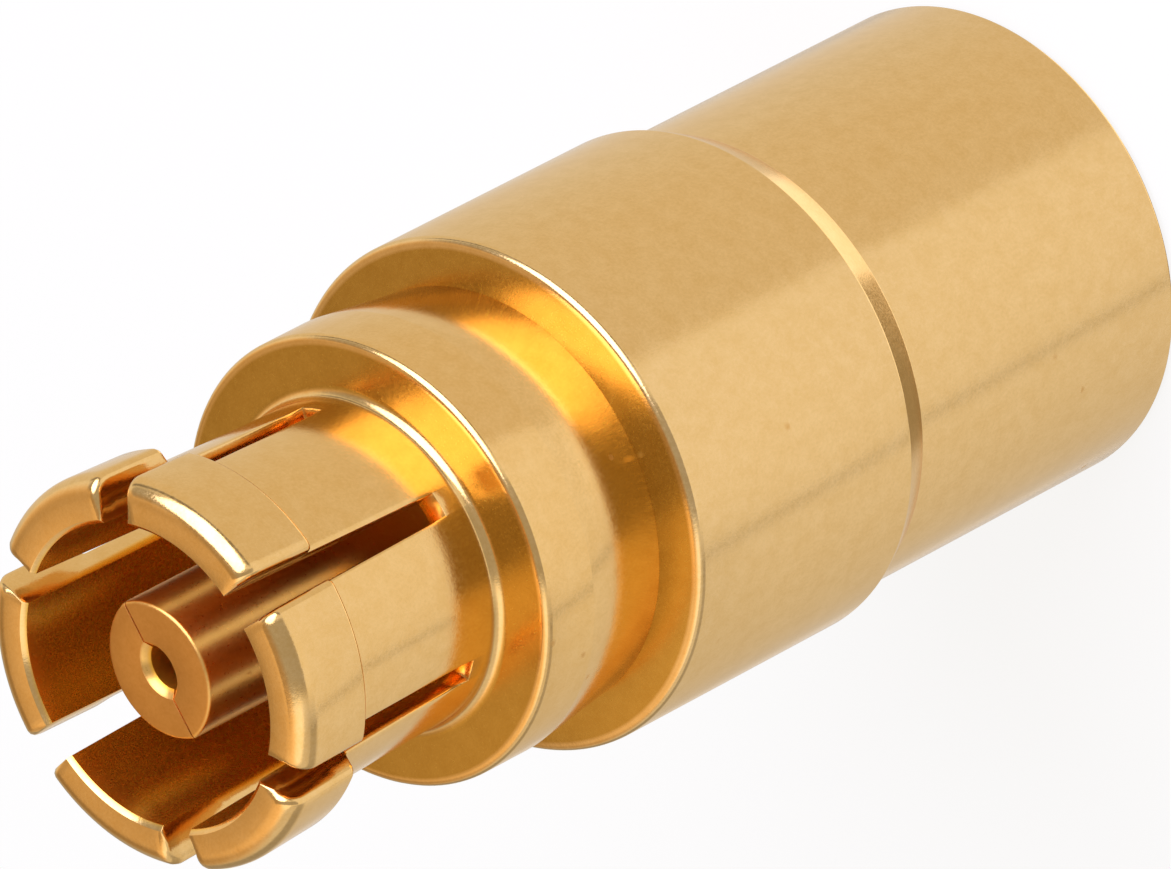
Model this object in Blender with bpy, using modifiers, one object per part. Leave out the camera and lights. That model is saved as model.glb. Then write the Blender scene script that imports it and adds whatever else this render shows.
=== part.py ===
"""Push-on miniature coaxial cable connector, socket side, with six spring fingers.

The connector stands on the flat end of its cable section. The origin is the
centre of that end and +Z runs along the axis to the mating end. +X runs
through one of the six slots.
"""
import math

import bmesh
import bpy
from mathutils import Matrix

MM = 0.001

# Body
body_diameter = 3.18 * MM
body_front_z = 4.39 * MM
body_front_break = 0.036 * MM
shoulder_z = 2.30 * MM
shoulder_taper_length = 0.22 * MM
rear_diameter = 2.98 * MM
rear_edge_break = 0.03 * MM
cable_bore_diameter = 2.20 * MM
cable_bore_depth = 1.90 * MM
cable_entry_chamfer = 0.10 * MM
cable_stop_bore_diameter = 1.68 * MM
bead_seat_z = 3.50 * MM
body_mouth_break = 0.015 * MM

# Outer contact, as turned, before its fingers are set outwards
collar_diameter = 2.782 * MM
collar_length = 1.115 * MM
collar_land_length = 0.409 * MM
collar_edge_break = 0.030 * MM
collar_root_diameter = 2.544 * MM
neck_diameter = 2.04 * MM
neck_fillet = 0.072 * MM
finger_bore_diameter = 1.736 * MM
bead_bore_diameter = 2.02 * MM
bead_length = 1.40 * MM
lip_diameter = 2.304 * MM
lip_length = 0.565 * MM
lip_back_slope = 0.055 * MM
lip_nose_radius = 0.17 * MM
lip_bore_chamfer = 0.028 * MM
mating_end_z = 7.405 * MM
tail_edge_break = 0.04 * MM

# Slots and spring set of the outer contact
finger_count = 6
slot_width = 0.15 * MM
slot_root_gap = 0.195 * MM
finger_set = 0.07 * MM
finger_set_power = 1.2

# Centre contact
socket_diameter = 0.888 * MM
socket_recess = 0.12 * MM
socket_edge_break = 0.02 * MM
socket_hole_diameter = 0.31 * MM
socket_hole_share = 0.608
socket_countersink_diameter = 0.40 * MM
socket_countersink_depth = 0.05 * MM
tine_slot_width = 0.15 * MM
tine_slot_share = 0.503
tine_closed_gap = 0.01 * MM
tine_set_power = 1.5
socket_turn = math.radians(-6.4)
waist_diameter = 0.60 * MM
cup_diameter = 0.80 * MM
cup_end_z = 2.10 * MM
cup_edge_break = 0.02 * MM
cup_hole_diameter = 0.54 * MM
cup_hole_depth = 0.65 * MM
cup_vent_diameter = 0.16 * MM
drill_point_angle = math.radians(118.0)

# Bead
bead_slit_width = 0.05 * MM

# Gap between neighbouring pieces
fit = 0.01 * MM

# Sides of the turned shapes
shell_sides = 120
sleeve_sides = 96
contact_sides = 48
bead_sides = 96

weld_distance = 1e-8


def arc(centre_r, centre_z, radius, start, end, steps):
    """Points (r, z) on an arc, angles in degrees from the +r direction."""
    points = []
    for i in range(steps + 1):
        angle = math.radians(start + (end - start) * i / steps)
        points.append((centre_r + radius * math.cos(angle), centre_z + radius * math.sin(angle)))
    return points


def between(first, last, count):
    """Points evenly between two (r, z) points, without the two themselves."""
    return [(first[0] + (last[0] - first[0]) * i / (count + 1),
             first[1] + (last[1] - first[1]) * i / (count + 1)) for i in range(1, count + 1)]


def clear_scene():
    for obj in list(bpy.data.objects):
        bpy.data.objects.remove(obj, do_unlink=True)


def new_collection(name):
    collection = bpy.data.collections.new(name)
    bpy.context.scene.collection.children.link(collection)
    return collection


def material(name, colour, roughness, metallic):
    mat = bpy.data.materials.new(name)
    mat.use_nodes = True
    shader = mat.node_tree.nodes["Principled BSDF"]
    shader.inputs["Base Color"].default_value = (*colour, 1.0)
    shader.inputs["Roughness"].default_value = roughness
    shader.inputs["Metallic"].default_value = metallic
    return mat


def turned(name, outline, sides, collection, mat, closed=True):
    """A solid of revolution from an (r, z) outline that runs down its outer side."""
    mesh = bpy.data.meshes.new(name)
    bm = bmesh.new()
    verts = [bm.verts.new((r, 0.0, z)) for r, z in outline]
    for a, b in zip(verts, verts[1:]):
        bm.edges.new((a, b))
    if closed:
        bm.edges.new((verts[-1], verts[0]))
    bm.to_mesh(mesh)
    bm.free()
    obj = bpy.data.objects.new(name, mesh)
    collection.objects.link(obj)
    screw = obj.modifiers.new("turn", 'SCREW')
    screw.axis = 'Z'
    screw.angle = 2 * math.pi
    screw.steps = sides
    screw.render_steps = sides
    screw.use_merge_vertices = True
    screw.merge_threshold = weld_distance
    mesh.materials.append(mat)
    return obj


def cut(obj, cutter):
    cutter.hide_render = True
    cutter.display_type = 'WIRE'
    boolean = obj.modifiers.new("cut by " + cutter.name, 'BOOLEAN')
    boolean.operation = 'DIFFERENCE'
    boolean.solver = 'EXACT'
    boolean.object = cutter


def block(name, size, centre, angle, collection):
    """A cutter box turned about the Z axis after it is moved to its centre."""
    bm = bmesh.new()
    bmesh.ops.create_cube(bm, size=1.0)
    bmesh.ops.scale(bm, vec=size, verts=bm.verts)
    bmesh.ops.translate(bm, vec=centre, verts=bm.verts)
    bmesh.ops.rotate(bm, cent=(0, 0, 0), matrix=Matrix.Rotation(angle, 3, 'Z'), verts=bm.verts)
    mesh = bpy.data.meshes.new(name)
    bm.to_mesh(mesh)
    bm.free()
    obj = bpy.data.objects.new(name, mesh)
    collection.objects.link(obj)
    return obj


def rod(name, diameter, length, matrix, sides, collection):
    """A cutter cylinder along its own Z, placed by a matrix."""
    bm = bmesh.new()
    bmesh.ops.create_cone(bm, cap_ends=True, segments=sides, radius1=diameter / 2,
                          radius2=diameter / 2, depth=length)
    bm.transform(matrix)
    mesh = bpy.data.meshes.new(name)
    bm.to_mesh(mesh)
    bm.free()
    obj = bpy.data.objects.new(name, mesh)
    collection.objects.link(obj)
    return obj


def apply_modifiers(obj):
    """Replace an object's mesh by its evaluated one, so that it can be formed further."""
    bpy.context.view_layer.update()
    evaluated = obj.evaluated_get(bpy.context.evaluated_depsgraph_get())
    mesh = bpy.data.meshes.new_from_object(evaluated)
    obj.modifiers.clear()
    obj.data = mesh
    mesh.name = obj.name


def shade(obj, angle=30.0):
    if obj.modifiers:
        apply_modifiers(obj)
    obj.data.shade_smooth()
    obj.data.set_sharp_from_angle(angle=math.radians(angle))


def rise(z, root, tip, power):
    """0 at the root of a spring finger, 1 at its tip."""
    return max(0.0, (z - root) / (tip - root)) ** power if z > root else 0.0


def make_body_shell(collection, mat):
    radius = body_diameter / 2
    rear = rear_diameter / 2
    mouth = collar_root_diameter / 2 + fit
    bore = cable_bore_diameter / 2
    stop = cable_stop_bore_diameter / 2
    outline = [
        (mouth + body_mouth_break, body_front_z),
        (radius - body_front_break, body_front_z),
        (radius, body_front_z - body_front_break),
        (radius, shoulder_z + shoulder_taper_length),
        (rear, shoulder_z),
        (rear, rear_edge_break),
        (rear - rear_edge_break, 0.0),
        (bore + cable_entry_chamfer, 0.0),
        (bore, cable_entry_chamfer),
        (bore, cable_bore_depth),
        (stop, cable_bore_depth),
        (stop, bead_seat_z),
        (mouth, bead_seat_z),
        (mouth, body_front_z - body_mouth_break),
    ]
    return turned("body_shell", outline, shell_sides, collection, mat)


def make_outer_contact(collection, cutters, mat):
    collar = collar_diameter / 2
    collar_face_z = body_front_z + collar_length
    root = collar_root_diameter / 2
    neck = neck_diameter / 2
    lip = lip_diameter / 2
    lip_back_z = mating_end_z - lip_length
    bead_bore = bead_bore_diameter / 2
    bore = finger_bore_diameter / 2
    tail_end_z = bead_seat_z + fit
    bead_shoulder_z = bead_seat_z + bead_length
    slot_root_z = collar_face_z + slot_root_gap
    neck_start = (neck, collar_face_z + neck_fillet)
    neck_end = (neck, lip_back_z - lip_back_slope)
    bore_tip = (bore, mating_end_z - lip_bore_chamfer)

    outline = [(bore + lip_bore_chamfer, mating_end_z)]
    outline += arc(lip - lip_nose_radius, mating_end_z - lip_nose_radius, lip_nose_radius, 90, 0, 6)
    outline += [(lip, lip_back_z), neck_end]
    outline += between(neck_end, neck_start, 3)
    outline += arc(neck + neck_fillet, collar_face_z + neck_fillet, neck_fillet, 180, 270, 5)
    outline += [
        (collar - collar_edge_break, collar_face_z),
        (collar, collar_face_z - collar_edge_break),
        (collar, collar_face_z - collar_land_length),
        (root, body_front_z),
        (root, tail_end_z + tail_edge_break),
        (root - tail_edge_break, tail_end_z),
        (bead_bore, tail_end_z),
        (bead_bore, bead_shoulder_z),
        (bore, bead_shoulder_z),
        (bore, slot_root_z),
    ]
    outline += between((bore, slot_root_z), bore_tip, 3)
    outline += [bore_tip]
    sleeve = turned("outer_contact", outline, sleeve_sides, collection, mat)

    # Each saw cut starts inside the bore and runs out past the lip and the tip.
    cut_start = bore * 0.6
    cut_end = lip + 0.3 * MM
    cut_height = mating_end_z - slot_root_z + 0.3 * MM
    for i in range(finger_count):
        cutter = block("finger_slot_%d" % (i + 1), (cut_end - cut_start, slot_width, cut_height),
                       ((cut_start + cut_end) / 2, 0.0, slot_root_z + cut_height / 2),
                       2 * math.pi * i / finger_count, cutters)
        cut(sleeve, cutter)
    apply_modifiers(sleeve)
    set_fingers(sleeve.data, slot_root_z)
    return sleeve


def set_fingers(mesh, slot_root_z):
    """Spring the fingers open: each one leans out along its own middle."""
    pitch = 2 * math.pi / finger_count
    for vert in mesh.vertices:
        lean = finger_set * rise(vert.co.z, slot_root_z, mating_end_z, finger_set_power)
        if lean > 0.0:
            angle = math.atan2(vert.co.y, vert.co.x)
            middle = (math.floor(angle / pitch) + 0.5) * pitch
            vert.co.x += lean * math.cos(middle)
            vert.co.y += lean * math.sin(middle)


def make_center_contact(collection, cutters, mat):
    tip_z = mating_end_z - socket_recess
    radius = socket_diameter / 2
    hole = socket_hole_diameter / 2
    sink = socket_countersink_diameter / 2
    waist = waist_diameter / 2
    cup = cup_diameter / 2
    cup_hole = cup_hole_diameter / 2
    front_shoulder_z = bead_seat_z + bead_length
    rear_shoulder_z = bead_seat_z
    socket_length = tip_z - front_shoulder_z
    tine_slot_length = socket_length * tine_slot_share
    socket_hole_depth = socket_length * socket_hole_share
    root_z = tip_z - tine_slot_length
    point = 1.0 / math.tan(drill_point_angle / 2)

    outline = [
        (0.0, tip_z - socket_hole_depth - hole * point),
        (hole, tip_z - socket_hole_depth),
    ]
    outline += between((hole, tip_z - socket_hole_depth), (hole, tip_z - socket_countersink_depth), 3)
    outline += [
        (hole, tip_z - socket_countersink_depth),
        (sink, tip_z),
        (radius - socket_edge_break, tip_z),
        (radius, tip_z - socket_edge_break),
    ]
    outline += between((radius, tip_z - socket_edge_break), (radius, root_z), 3)
    outline += [
        (radius, root_z),
        (radius, front_shoulder_z),
        (waist, front_shoulder_z),
        (waist, rear_shoulder_z),
        (cup, rear_shoulder_z),
        (cup, cup_end_z + cup_edge_break),
        (cup - cup_edge_break, cup_end_z),
        (cup_hole, cup_end_z),
        (cup_hole, cup_end_z + cup_hole_depth),
        (0.0, cup_end_z + cup_hole_depth + cup_hole * point),
    ]
    contact = turned("center_contact", outline, contact_sides, collection, mat, closed=False)

    slot_height = tine_slot_length + 0.3 * MM
    slot = block("tine_slot", (tine_slot_width, socket_diameter * 1.5, slot_height),
                 (0.0, 0.0, root_z + slot_height / 2), 0.0, cutters)
    cut(contact, slot)
    vent_z = cup_end_z + cup_hole_depth * 0.6
    vent = rod("cup_vent", cup_vent_diameter, cup_diameter,
               Matrix.Translation((0.0, cup_diameter / 2, vent_z)) @ Matrix.Rotation(math.pi / 2, 4, 'X'),
               16, cutters)
    cut(contact, vent)
    apply_modifiers(contact)
    close_tines(contact.data, root_z, tip_z)
    contact.data.transform(Matrix.Rotation(socket_turn, 4, 'Z'))
    return contact


def close_tines(mesh, root_z, tip_z):
    """Bend the two tines together until their flats almost touch at the tip."""
    travel = (tine_slot_width - tine_closed_gap) / 2
    for vert in mesh.vertices:
        shift = travel * rise(vert.co.z, root_z, tip_z, tine_set_power)
        vert.co.x -= math.copysign(shift, vert.co.x)


def make_insulator_bead(collection, cutters, mat):
    inner = waist_diameter / 2 + fit
    outer = bead_bore_diameter / 2 - fit
    top = bead_seat_z + bead_length - fit
    bottom = bead_seat_z + fit
    outline = [(inner, top), (outer, top), (outer, bottom), (inner, bottom)]
    bead = turned("insulator_bead", outline, bead_sides, collection, mat)
    slit_length = bead_bore_diameter
    slit = block("bead_slit", (slit_length, bead_slit_width, 2 * (top - bottom)),
                 (slit_length / 2, 0.0, (top + bottom) / 2), socket_turn, cutters)
    cut(bead, slit)
    return bead


def main():
    clear_scene()
    parts = new_collection("coaxial_connector")
    cutters = new_collection("cutters")
    gold = material("gold_plate", (0.86, 0.60, 0.28), 0.28, 1.0)
    contact_gold = material("contact_gold_plate", (0.88, 0.60, 0.30), 0.25, 1.0)
    ptfe = material("ptfe", (0.90, 0.89, 0.86), 0.55, 0.0)
    pieces = [
        make_body_shell(parts, gold),
        make_outer_contact(parts, cutters, gold),
        make_center_contact(parts, cutters, contact_gold),
        make_insulator_bead(parts, cutters, ptfe),
    ]
    for piece in pieces:
        shade(piece)


main()
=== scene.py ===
"""Gold-plated push-on miniature coaxial connector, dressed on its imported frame."""
import math

import bmesh
import bpy
from mathutils import Matrix, Vector


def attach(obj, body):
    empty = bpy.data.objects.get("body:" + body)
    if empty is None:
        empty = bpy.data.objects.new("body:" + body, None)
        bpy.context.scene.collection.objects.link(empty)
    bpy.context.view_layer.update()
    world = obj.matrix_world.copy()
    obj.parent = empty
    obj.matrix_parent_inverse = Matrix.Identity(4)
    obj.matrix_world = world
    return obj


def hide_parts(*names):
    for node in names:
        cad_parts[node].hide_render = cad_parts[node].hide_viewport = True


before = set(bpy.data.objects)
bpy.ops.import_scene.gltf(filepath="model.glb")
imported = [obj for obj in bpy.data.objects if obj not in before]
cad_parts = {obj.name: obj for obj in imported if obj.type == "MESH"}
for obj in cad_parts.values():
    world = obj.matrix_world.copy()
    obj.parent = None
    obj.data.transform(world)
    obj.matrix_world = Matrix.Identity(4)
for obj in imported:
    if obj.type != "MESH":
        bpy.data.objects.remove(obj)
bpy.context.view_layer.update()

MM = 0.001

# Sizes in millimetres: radii, and heights above the rear end. A "half" is half a width.

# Body
body_radius = 1.59
body_front = 4.39
body_front_round = 0.048
front_corner_radius = 1.31
front_corner = 4.435
rear_radius = 1.49
shoulder_rear = 2.30
shoulder_front = 2.52
shoulder_round = 0.05
cable_bore = 1.10
cable_bore_depth = 1.90
cable_bore_mouth = 0.10
cable_stop_bore = 0.84

# Outer contact
collar_radius = 1.391
collar_face = 5.505
collar_round = 0.048
collar_land_rear = 5.096
tail_radius = 1.272
neck_radius = 1.02
neck_fillet = 0.072
finger_bore = 0.868
finger_count = 6
slot_root = 5.70
slot_half = 0.075
lip_radius = 1.152
lip_rear = 6.84
lip_back_slope = 0.055
lip_back_round = 0.035
lip_nose = 0.14
lip_chamfer = 0.028
finger_side_round = 0.048
neck_side_round = 0.014
finger_edge_break = 0.0045
mating_end = 7.405
finger_set = 0.07

# Centre contact
socket_radius = 0.444
socket_tip = 7.285
socket_tip_round = 0.022
socket_hole = 0.155
socket_hole_share = 0.608
countersink = 0.20
countersink_depth = 0.05
tine_root = 6.085
tine_half = 0.075
tine_gap_half = 0.005
tine_edge_break = 0.004
socket_turn = math.radians(-6.4)
waist = 0.30
cup_radius = 0.40
cup_end = 2.10
cup_hole = 0.27
cup_hole_depth = 0.65
drill_point = math.tan(math.radians(31))

# Bead, and the seats round it
bead_seat = 3.50
bead_front = 4.90
bead_bore = 1.01
bead_slit_half = 0.025
bead_round = 0.012
fit = 0.01

# Plain rounds of turned edges, and the angle from which a sawn edge is broken
wide_round = 0.03
small_round = 0.02
fine_round = 0.01
sharp_angle = math.radians(34)


# ---------------------------------------------------------------- forming

def arc(centre_r, centre_z, radius, start, end, steps):
    """Points of an outline on an arc, angles in degrees from straight out."""
    angles = [math.radians(start + (end - start) * i / steps) for i in range(steps + 1)]
    return [(centre_r + radius * math.cos(a), centre_z + radius * math.sin(a)) for a in angles]


def rounded(outline, steps=5):
    """Replaces each corner (r, z, radius) of a closed outline by a round one."""
    points = []
    for i, corner in enumerate(outline):
        here = Vector(corner[:2])
        if len(corner) < 3:
            points.append(tuple(here))
            continue
        back = (Vector(outline[i - 1][:2]) - here).normalized()
        ahead = (Vector(outline[(i + 1) % len(outline)][:2]) - here).normalized()
        half = back.angle(ahead) / 2
        start = here + back * corner[2] / math.tan(half)
        centre = here + (back + ahead).normalized() * corner[2] / math.sin(half)
        spoke = start - centre
        sweep = math.copysign(math.pi - 2 * half, back.x * ahead.y - back.y * ahead.x)
        points += [tuple(centre + Matrix.Rotation(-sweep * k / steps, 2) @ spoke)
                   for k in range(steps + 1)]
    return points


def stepped(first, last, count):
    """Points evenly between two outline points, so that a wall can bend there."""
    return [tuple(a + (b - a) * i / (count + 1) for a, b in zip(first, last))
            for i in range(1, count + 1)]


def turn(outline, steps):
    """Turns a closed outline of (radius, height) points into a full ring."""
    bm = bmesh.new()
    points = [bm.verts.new((r * MM, 0, z * MM)) for r, z in outline]
    edges = [bm.edges.new(pair) for pair in zip(points, points[1:] + points[:1])]
    bmesh.ops.spin(bm, geom=points + edges, cent=(0, 0, 0), axis=(0, 0, 1), dvec=(0, 0, 0),
                   angle=2 * math.pi, steps=steps, use_merge=True, use_normal_flip=False,
                   use_duplicate=False)
    bmesh.ops.remove_doubles(bm, verts=bm.verts, dist=1e-9)
    bmesh.ops.recalc_face_normals(bm, faces=bm.faces)
    return bm


def twist(bm, angle):
    """Turns a piece about the connector's axis."""
    bmesh.ops.rotate(bm, cent=(0, 0, 0), matrix=Matrix.Rotation(angle, 3, 'Z'), verts=bm.verts)


def finger_places(inset, steps):
    """Places from 0 to 1 across a finger, closer together near its two sides."""
    fine = [0.0, 0.134 * inset, 0.5 * inset, inset, 1.7 * inset]
    middle = [fine[-1] + (1 - 2 * fine[-1]) * i / steps for i in range(1, steps)]
    return fine + middle + [1 - place for place in reversed(fine)]


def saw_slots(bm, count, places, half_width, root, smallest_radius, soften=None):
    """Opens evenly spaced slots with flat parallel walls above the height root.

    The ring has one step between neighbouring places on each finger and two across
    each slot. soften(r, z, inset) rounds a finger's sides, all in millimetres.
    """
    per_pitch = len(places) + 1
    around = count * per_pitch
    step = 2 * math.pi / around
    pitch = 2 * math.pi / count
    root *= MM

    def steps_to(co):
        return math.atan2(co.y, co.x) / step

    def place(co):
        steps = steps_to(co)
        return steps - per_pitch * math.floor(steps / per_pitch + 0.5)

    def at_root(v):
        return abs(v.co.z - root) < 1e-9

    gone = [face for face in bm.faces if face.calc_center_median().z > root + 1e-9
            and abs(place(face.calc_center_median())) < 1]
    bmesh.ops.delete(bm, geom=gone, context='FACES')
    for side in (-1, 1):
        for slot in range(count):
            seam = [v for v in bm.verts if v.is_boundary and round(place(v.co)) == side
                    and round(steps_to(v.co) - side) % around == slot * per_pitch]
            bmesh.ops.contextual_create(bm, geom=[v for v in seam if at_root(v)])
            wall = {edge for v in seam for edge in v.link_edges
                    if edge.other_vert(v) in seam and len(edge.link_faces) < 2}
            bmesh.ops.contextual_create(bm, geom=list(wall))
    for slot in range(count):
        out = Vector((math.cos(pitch * slot), math.sin(pitch * slot), 0))
        floor = [edge for edge in bm.edges if edge.is_boundary
                 and all(at_root(v) and v.co.dot(out) > 0
                         and v.co.xy.angle(out.xy) < 1.5 * step for v in edge.verts)]
        bmesh.ops.contextual_create(bm, geom=floor)
    # Gather each finger's edges on to the flat planes of the saw cuts.
    for v in bm.verts:
        r = math.hypot(v.co.x, v.co.y) / MM
        if r < 1e-4:
            continue
        sector, index = divmod(round(steps_to(v.co)), per_pitch)
        if index:
            across = places[index - 1]
            if soften and v.co.z > root + 1e-9:
                width = r * (pitch - 2 * math.asin(half_width / r))
                r, z = soften(r, v.co.z / MM, min(across, 1 - across) * width)
                v.co.z = z * MM
            edge_angle = math.asin(half_width / max(r, smallest_radius))
            angle = sector * pitch + edge_angle + across * (pitch - 2 * edge_angle)
            v.co.x, v.co.y = r * MM * math.cos(angle), r * MM * math.sin(angle)
    bmesh.ops.recalc_face_normals(bm, faces=bm.faces)


def break_edges(bm, width):
    """Rounds every sharp edge a little."""
    sharp = [edge for edge in bm.edges if len(edge.link_faces) == 2
             and edge.calc_face_angle(0) > sharp_angle]
    bmesh.ops.bevel(bm, geom=sharp, offset=width * MM, offset_type='OFFSET', segments=2,
                    profile=0.5, affect='EDGES', clamp_overlap=True, material=-1)


def piece(name, bm, finish, node):
    """Puts a formed mesh in the scene in place of its plain node."""
    sawn = [face for face in bm.faces if len(face.verts) > 4]
    for face in bm.faces:
        face.smooth = len(face.verts) <= 4
    bmesh.ops.triangulate(bm, faces=sawn, quad_method='BEAUTY', ngon_method='BEAUTY')
    mesh = bpy.data.meshes.new(name)
    bm.to_mesh(mesh)
    bm.free()
    mesh.materials.append(finish)
    obj = bpy.data.objects.new(name, mesh)
    bpy.context.scene.collection.objects.link(obj)
    weighted = obj.modifiers.new("flat faces stay flat", 'WEIGHTED_NORMAL')
    weighted.weight = 100
    weighted.keep_sharp = False
    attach(obj, "root")
    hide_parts(node)


# ---------------------------------------------------------------- finishes

class Nodes:
    """Short ways to add and link shader nodes in one tree."""

    def __init__(self, tree):
        self.tree = tree

    def add(self, kind, **settings):
        node = self.tree.nodes.new("ShaderNode" + kind)
        for key, value in settings.items():
            setattr(node, key, value)
        return node

    def link(self, source, target):
        self.tree.links.new(source, target)

    def put(self, value, socket):
        if isinstance(value, bpy.types.NodeSocket):
            self.link(value, socket)
        else:
            socket.default_value = value

    def math(self, operation, a, b=0.0, clamp=False):
        node = self.add("Math", operation=operation, use_clamp=clamp)
        self.put(a, node.inputs[0])
        self.put(b, node.inputs[1])
        return node.outputs[0]

    def plus(self, a, b, clamp=False):
        return self.math('ADD', a, b, clamp)

    def minus(self, a, b):
        return self.math('SUBTRACT', a, b)

    def times(self, first, *others):
        for value in others:
            first = self.math('MULTIPLY', first, value)
        return first

    def apart(self, a, b):
        """How far two values are from each other."""
        return self.math('ABSOLUTE', self.minus(a, b))

    def range(self, value, low, high, to_low=0.0, to_high=1.0, smooth=False):
        node = self.add("MapRange", interpolation_type='SMOOTHSTEP' if smooth else 'LINEAR')
        for item, key in ((value, "Value"), (low, "From Min"), (high, "From Max"),
                          (to_low, "To Min"), (to_high, "To Max")):
            self.put(item, node.inputs[key])
        return node.outputs[0]

    def rise(self, value, low, high):
        return self.range(value, low, high, 0.0, 1.0, True)

    def fall(self, value, low, high):
        return self.range(value, low, high, 1.0, 0.0, True)

    def noise(self, vector, per_mm, detail, roughness):
        node = self.add("TexNoise")
        self.link(vector, node.inputs["Vector"])
        node.inputs["Scale"].default_value = per_mm / MM
        node.inputs["Detail"].default_value = detail
        node.inputs["Roughness"].default_value = roughness
        return node.outputs["Fac"]

    def mix(self, factor, a, b):
        node = self.add("Mix", data_type='RGBA', blend_type='MIX')
        self.put(factor, node.inputs[0])
        self.put((*a, 1.0) if isinstance(a, tuple) else a, node.inputs[6])
        self.put((*b, 1.0) if isinstance(b, tuple) else b, node.inputs[7])
        return node.outputs[2]

    def bump(self, height, depth, shader):
        """Gives a shader small bumps of a depth in millimetres."""
        node = self.add("Bump")
        node.inputs["Strength"].default_value = 1.0
        node.inputs["Distance"].default_value = depth * MM
        self.link(height, node.inputs["Height"])
        self.link(node.outputs["Normal"], shader.inputs["Normal"])


def new_material(name):
    """A material's node helper, its main shader and the piece's own coordinates."""
    mat = bpy.data.materials.new(name)
    mat.use_nodes = True
    n = Nodes(mat.node_tree)
    return mat, n, mat.node_tree.nodes["Principled BSDF"], n.add("TexCoord").outputs["Object"]


def gold_finish(name, tones, roughness, grain, turned_face, shaded_face_tones, inside=None):
    """Satin gold plate: soft cloudy tone, fine pickled grain, a few small pits.

    tones are its (pale, deep) colours, grain the depth of its bumps. turned_face is
    (low, high, radius) of an end face whose tool marks make it a little rougher and
    which is painted a deeper, darker gold in the face tones, painted shade of the
    corner it sits in. inside is (radius, height) of a bore that is painted a deeper,
    darker gold too, painted shade within it, and made a little rougher.
    """
    mat, n, shader, place = new_material(name)
    parts = n.add("SeparateXYZ")
    n.link(place, parts.inputs[0])
    x, y, z = parts.outputs
    out = n.math('SQRT', n.plus(n.times(x, x), n.times(y, y)))

    cloud = n.noise(place, 9.0, 3.0, 0.6)
    fleck = n.noise(place, 50.0, 2.0, 0.6)
    fine = n.noise(place, 95.0, 2.0, 0.55)
    tone = n.range(n.plus(n.times(cloud, 0.5), n.times(fleck, 0.5)), 0.36, 0.64)
    colour = n.mix(tone, tones[1], tones[0])

    pit = n.add("TexVoronoi", feature='F1')
    n.link(place, pit.inputs["Vector"])
    pit.inputs["Scale"].default_value = 3.4 / MM
    chosen = n.math('GREATER_THAN', n.noise(place, 1.3, 1.0, 0.5), 0.56)
    pitted = n.times(n.fall(pit.outputs["Distance"], 0.03, 0.11), chosen)
    colour = n.mix(n.times(pitted, 0.50), colour, pit_gold)

    # The end face is painted a deeper, darker gold: painted shade of the corner it sits in. Its
    # tool marks make it a little rougher too.
    low, high, radius = turned_face
    off_middle = n.apart(z, (low + high) / 2 * MM)
    half = (high - low) / 2
    level = n.range(off_middle, (half + 0.002) * MM, (half + 0.010) * MM, 1.0, 0.0)
    faced = n.times(level, n.range(out, (radius - 0.02) * MM, radius * MM, 1.0, 0.0))
    colour = n.mix(faced, colour, n.mix(tone, shaded_face_tones[1], shaded_face_tones[0]))

    rough = n.range(fleck, 0.3, 0.7, roughness - 0.03, roughness + 0.04)
    rough = n.plus(rough, n.times(pitted, 0.25))
    rough = n.plus(rough, n.times(faced, 0.09))
    if inside:
        radius, foot = inside
        # The bore is painted a deeper, darker gold: painted shade inside it. It is also made a
        # little rougher.
        bore = n.times(n.range(out, radius * MM, (radius + 0.03) * MM, 1.0, 0.0),
                       n.range(z, foot * MM, (foot + 0.02) * MM, 1.0, 0.0))
        colour = n.mix(bore, colour, bore_shade_gold)
        rough = n.plus(rough, n.times(bore, 0.12))

    n.link(colour, shader.inputs["Base Color"])
    n.link(rough, shader.inputs["Roughness"])
    shader.inputs["Metallic"].default_value = 1.0
    shader.inputs["Specular Tint"].default_value = (1.0, 0.93, 0.80, 1.0)
    height = n.minus(n.plus(fine, n.times(fleck, 1.2)), n.times(pitted, 0.5))
    n.bump(height, grain, shader)
    return mat


def ptfe_finish(name):
    """Waxy white bead: soft light inside it, faint turning rings and flecks."""
    mat, n, shader, place = new_material(name)
    cloud = n.noise(place, 6.0, 3.0, 0.6)
    colour = n.mix(n.range(cloud, 0.35, 0.65), (0.84, 0.83, 0.79), (0.91, 0.90, 0.87))
    n.link(colour, shader.inputs["Base Color"])
    n.link(n.range(cloud, 0.3, 0.7, 0.42, 0.55), shader.inputs["Roughness"])
    shader.inputs["Subsurface Weight"].default_value = 0.3
    shader.inputs["Subsurface Scale"].default_value = 0.2 * MM
    rings = n.add("TexWave", wave_type='RINGS', rings_direction='Z')
    n.link(place, rings.inputs["Vector"])
    rings.inputs["Scale"].default_value = 8.0 / MM
    rings.inputs["Distortion"].default_value = 0.6
    n.bump(rings.outputs["Fac"], 0.0004, shader)
    return mat


pit_gold = (0.74, 0.38, 0.10)
# Painted shade: the deeper, darker gold inside bores.
bore_shade_gold = (0.95, 0.49, 0.05)
# Painted shade: the deeper, darker gold of end faces that sit in corners.
face_shade_gold = ((0.63, 0.37, 0.08), (0.56, 0.315, 0.06))

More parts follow.
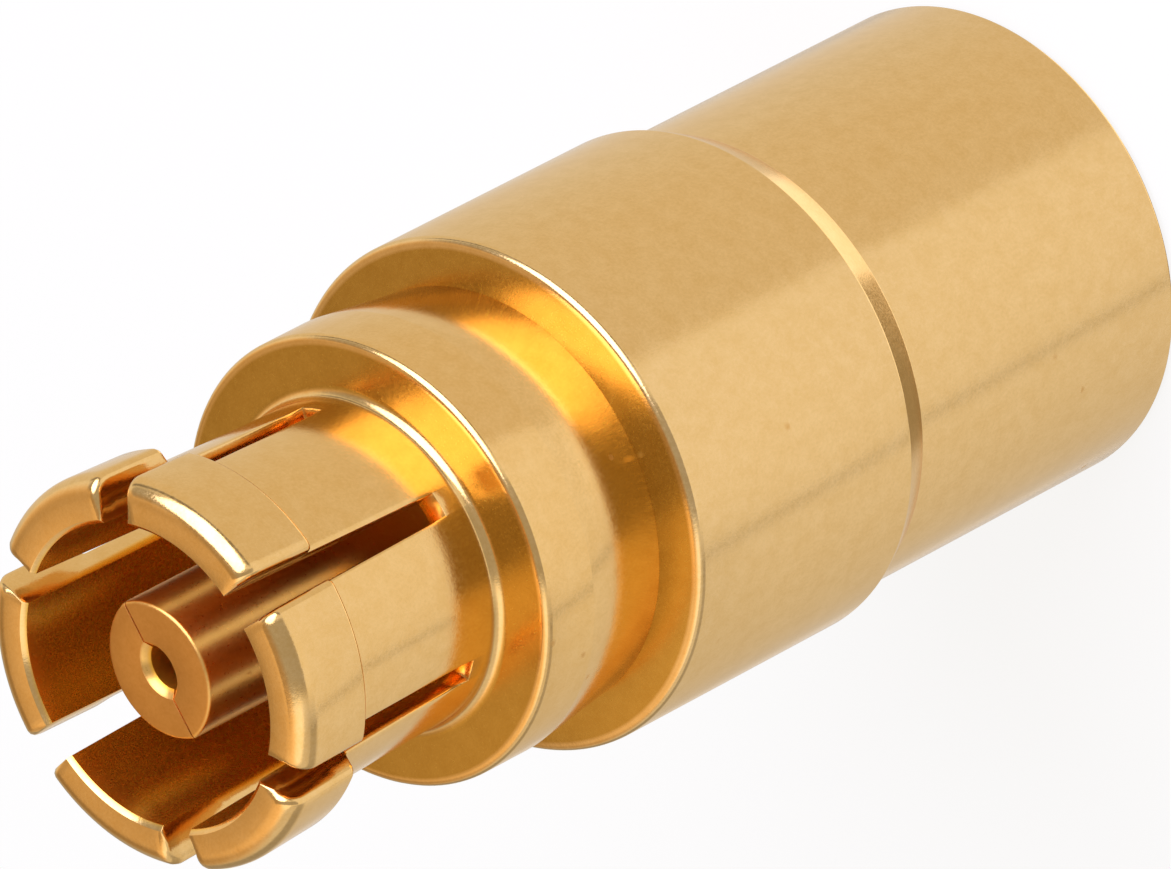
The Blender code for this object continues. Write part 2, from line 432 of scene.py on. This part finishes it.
# Each finish paints its end face and its bore a deeper, darker gold: painted shade.
gold = gold_finish(
    "satin_gold_plate", ((0.91, 0.60, 0.265), (0.84, 0.53, 0.205)), 0.155, 0.00028,
    (body_front, front_corner, body_radius - 0.05), face_shade_gold)
sleeve_gold = gold_finish(
    "satin_gold_sleeve", ((0.91, 0.58, 0.235), (0.85, 0.515, 0.18)), 0.145, 0.00028,
    (collar_face, collar_face, collar_radius - 0.045), face_shade_gold,
    (finger_bore + 0.06, mating_end - lip_chamfer))
contact_gold = gold_finish(
    "contact_gold_plate", ((0.90, 0.51, 0.15), (0.84, 0.46, 0.115)), 0.30, 0.00022,
    (socket_tip, socket_tip, socket_radius - 0.015), ((0.74, 0.375, 0.105), (0.68, 0.33, 0.085)),
    (socket_hole + 0.005, socket_tip - countersink_depth))
ptfe = ptfe_finish("white_ptfe")


# ---------------------------------------------------------------- body

def make_body():
    outline = rounded([
        (tail_radius, front_corner),
        (front_corner_radius, front_corner),
        (body_radius, body_front, body_front_round),
        (body_radius, shoulder_front, shoulder_round),
        (rear_radius, shoulder_rear, wide_round),
        (rear_radius, 0.0, wide_round),
        (cable_bore + cable_bore_mouth, 0.0, fine_round),
        (cable_bore, cable_bore_mouth, fine_round),
        (cable_bore, cable_bore_depth, small_round),
        (cable_stop_bore, cable_bore_depth, fine_round),
        (cable_stop_bore, bead_seat),
        (tail_radius, bead_seat),
    ])
    piece("turned_body", turn(outline, 288), gold, "body_shell")


# ---------------------------------------------------------------- outer contact

def round_finger_side(r, z, inset):
    """Rounds the outer long edges of a finger: well on the lip, a little on the neck."""
    on_bore = r < (finger_bore + neck_radius) / 2
    on_tip = z > mating_end - lip_chamfer and r < lip_radius - lip_nose
    if on_bore or on_tip:
        return r, z
    on_lip = min(1.0, max(0.0, (z - lip_rear + lip_back_slope) / lip_back_slope))
    radius = neck_side_round + (finger_side_round - neck_side_round) * on_lip
    radius *= min(1.0, (z - slot_root) / 0.05)
    if inset >= radius:
        return r, z
    depth = radius - math.sqrt(radius ** 2 - (radius - inset) ** 2)
    up_nose = min(1.0, max(0.0, (z - mating_end + lip_nose) / lip_nose))
    lean = math.asin(up_nose)
    return r - depth * math.cos(lean), z - depth * math.sin(lean)


def make_sleeve():
    neck_end = (neck_radius, lip_rear - lip_back_slope)
    slot_foot = (neck_radius, slot_root)
    bore_foot = (finger_bore, slot_root)
    bore_tip = (finger_bore, mating_end - lip_chamfer)
    outline = [
        (finger_bore + lip_chamfer, mating_end),
        *arc(lip_radius - lip_nose, mating_end - lip_nose, lip_nose, 90, 0, 12),
        (lip_radius, lip_rear, lip_back_round),
        (*neck_end, wide_round),
        *stepped(neck_end, slot_foot, 10),
        slot_foot,
        *arc(neck_radius + neck_fillet, collar_face + neck_fillet, neck_fillet, 180, 270, 8),
        (collar_radius, collar_face, collar_round),
        (collar_radius, collar_land_rear, fine_round),
        (front_corner_radius, front_corner),
        (tail_radius, front_corner),
        (tail_radius, bead_seat + fit, 0.04),
        (bead_bore, bead_seat + fit, small_round),
        (bead_bore, bead_front),
        (finger_bore, bead_front, small_round),
        bore_foot,
        *stepped(bore_foot, bore_tip, 12),
        bore_tip,
    ]
    places = finger_places(finger_side_round / 1.05, 20)
    bm = turn(rounded(outline), finger_count * (len(places) + 1))
    saw_slots(bm, finger_count, places, slot_half, slot_root, finger_bore, round_finger_side)
    break_edges(bm, finger_edge_break)
    # Each finger is sprung outwards along its own middle.
    pitch = 2 * math.pi / finger_count
    for v in bm.verts:
        rise = max(0.0, (v.co.z / MM - slot_root) / (mating_end - slot_root))
        middle = (math.floor(math.atan2(v.co.y, v.co.x) / pitch) + 0.5) * pitch
        lean = finger_set * MM * rise ** 1.2
        v.co += Vector((lean * math.cos(middle), lean * math.sin(middle), 0))
    piece("slotted_sleeve", bm, sleeve_gold, "outer_contact")


# ---------------------------------------------------------------- centre contact

def make_socket():
    hole_end = socket_tip - socket_hole_share * (socket_tip - bead_front)
    cup_hole_end = cup_end + cup_hole_depth
    hole_foot = (socket_hole, tine_root)
    hole_mouth = (socket_hole, socket_tip - countersink_depth)
    tine_foot = (socket_radius, tine_root)
    outline = [
        (0.0, hole_end - socket_hole * drill_point),
        (socket_hole, hole_end),
        hole_foot,
        *stepped(hole_foot, hole_mouth, 8),
        hole_mouth,
        (countersink, socket_tip),
        (socket_radius, socket_tip, socket_tip_round),
        *stepped((socket_radius, socket_tip - socket_tip_round), tine_foot, 8),
        tine_foot,
        (socket_radius, bead_front, small_round),
        (waist, bead_front),
        (waist, bead_seat),
        (cup_radius, bead_seat, small_round),
        (cup_radius, cup_end, small_round),
        (cup_hole, cup_end, 0.015),
        (cup_hole, cup_hole_end),
        (0.0, cup_hole_end + cup_hole * drill_point),
    ]
    places = finger_places(0.02, 34)
    bm = turn(rounded(outline), 2 * (len(places) + 1))
    saw_slots(bm, 2, places, tine_half, tine_root, socket_hole)
    twist(bm, math.pi / 2)
    break_edges(bm, tine_edge_break)
    # The two tines are closed until their flats almost touch.
    for v in bm.verts:
        rise = max(0.0, (v.co.z / MM - tine_root) / (socket_tip - tine_root))
        v.co.x -= math.copysign((tine_half - tine_gap_half) * MM * rise ** 1.5, v.co.x)
    twist(bm, socket_turn)
    piece("tined_socket", bm, contact_gold, "center_contact")


# ---------------------------------------------------------------- bead

def make_bead():
    inner, outer = waist + fit, bead_bore - fit
    low, high = bead_seat + fit, bead_front - fit
    outline = rounded([(r, z, bead_round)
                       for r, z in ((inner, high), (outer, high), (outer, low), (inner, low))])
    places = finger_places(0.01, 88)
    bm = turn(outline, len(places) + 1)
    # One slit right through, so that the bead snaps over the waist.
    saw_slots(bm, 1, places, bead_slit_half, 0.0, inner)
    twist(bm, socket_turn)
    piece("dielectric_bead", bm, ptfe, "insulator_bead")


# ---------------------------------------------------------------- studio

def white_stage_material():
    """White floor that keeps a soft trace of the connector's shadow."""
    mat = bpy.data.materials.new("pale_floor")
    mat.use_nodes = True
    n = Nodes(mat.node_tree)
    n.tree.nodes.clear()
    diffuse = n.add("BsdfDiffuse")
    diffuse.inputs["Color"].default_value = (0.88, 0.88, 0.88, 1)
    glow = n.add("Emission")
    glow.inputs["Color"].default_value = (1, 1, 1, 1)
    glow.inputs["Strength"].default_value = 1.0
    seen = n.add("LightPath").outputs
    blend = n.add("MixShader")
    n.link(n.times(n.math('MAXIMUM', seen["Is Camera Ray"], seen["Is Glossy Ray"]), 0.84),
           blend.inputs[0])
    n.link(diffuse.outputs[0], blend.inputs[1])
    n.link(glow.outputs[0], blend.inputs[2])
    n.link(blend.outputs[0], n.add("OutputMaterial").inputs["Surface"])
    return mat


def make_floor():
    bm = bmesh.new()
    bmesh.ops.create_circle(bm, cap_ends=True, segments=64, radius=0.6)
    bmesh.ops.translate(bm, vec=(0, 0, -0.02 * MM), verts=bm.verts)
    mesh = bpy.data.meshes.new("floor")
    bm.to_mesh(mesh)
    bm.free()
    mesh.materials.append(white_stage_material())
    floor = bpy.data.objects.new("floor", mesh)
    bpy.context.scene.collection.objects.link(floor)
    floor.visible_glossy = False


def direction(azimuth, elevation):
    a, e = math.radians(azimuth), math.radians(elevation)
    return Vector((math.cos(e) * math.cos(a), math.cos(e) * math.sin(a), math.sin(e)))


def make_softbox(azimuth, elevation, distance, width, brightness):
    """A round soft lamp that faces the connector, of a plain brightness."""
    lamp = bpy.data.lights.new("key_softbox", 'AREA')
    lamp.shape = 'ELLIPSE'
    lamp.size = lamp.size_y = width
    lamp.color = (0.97, 1.0, 1.3)
    lamp.energy = brightness * math.pi * math.pi * width * width / 4
    obj = bpy.data.objects.new("key_softbox", lamp)
    bpy.context.scene.collection.objects.link(obj)
    toward = direction(azimuth, elevation)
    obj.location = Vector((0, 0, 4 * MM)) + toward * distance
    obj.rotation_euler = toward.to_track_quat('Z', 'Y').to_euler()
    obj.visible_camera = False


def make_world():
    """A white tent: plain white for the camera, gently toned panels in the metal."""
    world = bpy.data.worlds.new("light_tent")
    bpy.context.scene.world = world
    world.use_nodes = True
    n = Nodes(world.node_tree)
    n.tree.nodes.clear()
    ray = n.add("TexCoord").outputs["Generated"]
    parts = n.add("SeparateXYZ")
    n.link(ray, parts.inputs[0])
    height = parts.outputs[2]
    upper = n.rise(height, -0.06, 0.04)
    lower = n.minus(1.0, upper)

    def toward(azimuth, elevation):
        """The cosine of the angle between the ray and a direction."""
        dot = n.add("VectorMath", operation='DOT_PRODUCT')
        n.link(ray, dot.inputs[0])
        dot.inputs[1].default_value = direction(azimuth, elevation)
        return dot.outputs["Value"]

    def lobe(azimuth, elevation, inner, outer):
        """1 inside a cone of that half angle round a direction, 0 outside."""
        return n.rise(toward(azimuth, elevation), math.cos(math.radians(outer)),
                      math.cos(math.radians(inner)))

    def darker(tone, azimuth, elevation, inner, outer, amount):
        """Takes an amount off a tone inside a lobe."""
        return n.minus(tone, n.times(lobe(azimuth, elevation, inner, outer), amount))

    # Below the horizon: the table, brighter on the side that the softbox lights,
    # with one darker joint.
    unlit_table = 0.97
    lit_side = n.rise(toward(-74, 0), -0.025, 0.025)
    lit = n.range(toward(-6, 0), -0.70, 0.75, 0.80, 1.20)
    table = n.plus(n.times(n.minus(lit, unlit_table), lit_side), unlit_table)
    joint = n.fall(n.math('ABSOLUTE', toward(21, 0)), 0.006, 0.028)
    table = n.minus(table, n.times(joint, lit_side, 0.46))
    # Straight below the connector the far half is bright and the rear of the near half shaded.
    under = n.rise(toward(0, -90), 0.885, 0.915)
    shaded = n.times(n.fall(toward(90, 0), 0.03, 0.09), n.fall(toward(0, 0), 0.03, 0.12))
    below = n.minus(1.80, n.times(shaded, 1.34))
    table = n.plus(n.times(table, n.minus(1.0, under)), n.times(below, under))

    # Above it: the tent's panels, the camera's opening that runs up and over the top,
    # and the gaps beside and under the softbox.
    plain_tent, opening_tone = 1.12, 0.56
    tent = darker(plain_tent, -112, 40, 30, 62, -0.50)
    tent = darker(tent, 174, 42, 20, 50, 0.38)
    opening = n.times(n.fall(n.apart(toward(61, 0), 0.05), 0.35, 0.44),
                      n.rise(toward(-29, 40), 0.20, 0.30))
    tent = n.minus(tent, n.times(n.minus(tent, opening_tone), opening))
    tent = darker(tent, 92, 36, 14, 28, 0.60)
    lamp_foot = n.times(n.fall(n.apart(height, 0.09), 0.06, 0.13),
                        n.rise(toward(60, 0), 0.55, 0.75))
    tent = n.minus(tent, n.times(lamp_foot, 0.80))
    tone = n.plus(n.times(table, lower), n.times(tent, upper))
    # A low dark rim round the far side of the tent.
    rim = n.times(n.fall(n.math('ABSOLUTE', height), 0.40, 0.64),
                  n.range(toward(-130, 0), 0.10, 0.50, 0.0, 0.42, True))
    tone = n.times(tone, n.minus(1.0, rim))

    # The shaded and the unlit parts of the table are a little warm, the far panel more so.
    warmth = n.times(shaded, under, lower)
    beside = n.times(n.range(toward(45, 0), 0.20, 0.65, 0.0, 0.45), n.minus(1.0, lit_side), lower)
    colour = n.mix(n.plus(warmth, beside, clamp=True), (1.0, 1.0, 1.0), (1.0, 0.87, 0.62))
    far_panel = n.times(lobe(174, 42, 30, 62), upper)
    colour = n.mix(far_panel, colour, (1.0, 0.74, 0.45))

    glow = n.add("Background")
    n.link(colour, glow.inputs["Color"])
    n.link(n.times(tone, 0.80), glow.inputs["Strength"])
    white = n.add("Background")
    white.inputs["Color"].default_value = (1, 1, 1, 1)
    white.inputs["Strength"].default_value = 1.0
    blend = n.add("MixShader")
    n.link(n.add("LightPath").outputs["Is Camera Ray"], blend.inputs[0])
    n.link(glow.outputs[0], blend.inputs[1])
    n.link(white.outputs[0], blend.inputs[2])
    n.link(blend.outputs[0], n.add("OutputWorld").inputs["Surface"])


def make_camera():
    """The photograph's view: from 42 degrees above, rolled so that the axis runs down
    to the left, through a long lens given in pixels of the photograph's width."""
    photo_width, focal_length = 1171, 20000
    data = bpy.data.cameras.new("camera")
    data.sensor_width = 36.0
    data.lens = 36.0 * focal_length / photo_width
    data.clip_start, data.clip_end = 0.01, 2.0
    camera = bpy.data.objects.new("camera", data)
    bpy.context.scene.collection.objects.link(camera)
    right = Vector((0.5467, -0.5191, -0.6570))
    back = Vector((0.7372, -0.0737, 0.6716)).normalized()
    right = (right - back * right.dot(back)).normalized()
    up = back.cross(right)
    turned = Matrix((right, up, back)).transposed().to_4x4()
    camera.matrix_world = Matrix.Translation((0.08592, -0.00852, 0.08180)) @ turned
    bpy.context.scene.camera = camera


make_body()
make_sleeve()
make_socket()
make_bead()
make_floor()
make_softbox(48, 44, 0.06, 0.069, 3.0)
make_world()
make_camera()
bpy.context.scene.view_settings.view_transform = 'Standard'
